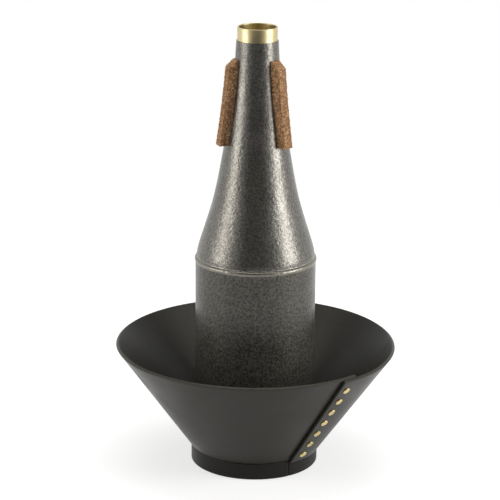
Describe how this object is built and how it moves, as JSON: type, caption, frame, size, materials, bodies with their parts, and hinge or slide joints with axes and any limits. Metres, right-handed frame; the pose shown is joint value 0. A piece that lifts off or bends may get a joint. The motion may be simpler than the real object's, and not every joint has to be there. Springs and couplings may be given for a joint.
{
  "type": "trombone cup mute",
  "caption": "Brass-instrument cup mute: a bottle-shaped hollow body with cork strips and an adjustable riveted cone cup around its straight sleeve.",
  "frame": {"origin": "centre of the flat base that the mute stands on", "axes": "+Z along the mute's axis, from the wide base up to the narrow throat ring; -Y is the front, with the cup's riveted seam on the front's right"},
  "size_m": [0.1906, 0.19, 0.3026],
  "materials": {
    "polished_brass": "polished",
    "cone_paint": "satin",
    "sleeve_paint": "matte",
    "cork": "matte",
    "felt": "matte",
    "cup_fibre": "satin",
    "collar_fibre": "satin",
    "rivet_brass": "satin"
  },
  "bodies": {
    "mute_body": {"throat_ring": "polished_brass", "body_cone": "cone_paint", "body_sleeve": "sleeve_paint", "base_plate": "sleeve_paint", "cork_strip_1": "cork", "cork_strip_2": "cork", "cork_strip_3": "cork"},
    "grip_ring": {"grip_lining": "felt"},
    "cup": {"cup_cone": "cup_fibre", "cup_collar": "collar_fibre", "seam_rivet_1": "rivet_brass", "seam_rivet_2": "rivet_brass", "seam_rivet_3": "rivet_brass", "seam_rivet_4": "rivet_brass", "seam_rivet_5": "rivet_brass", "seam_rivet_6": "rivet_brass", "seam_rivet_7": "rivet_brass"}
  },
  "joints": [
    {"name": "cup_slide", "type": "slide", "parent": "mute_body", "child": "grip_ring", "axis": [0, 0, 1], "range_m": [0, 0.13]},
    {"name": "cup_turn", "type": "hinge", "parent": "grip_ring", "child": "cup", "pos_m": [0, 0, 0], "axis": [0, 0, 1], "continuous": true}
  ]
}
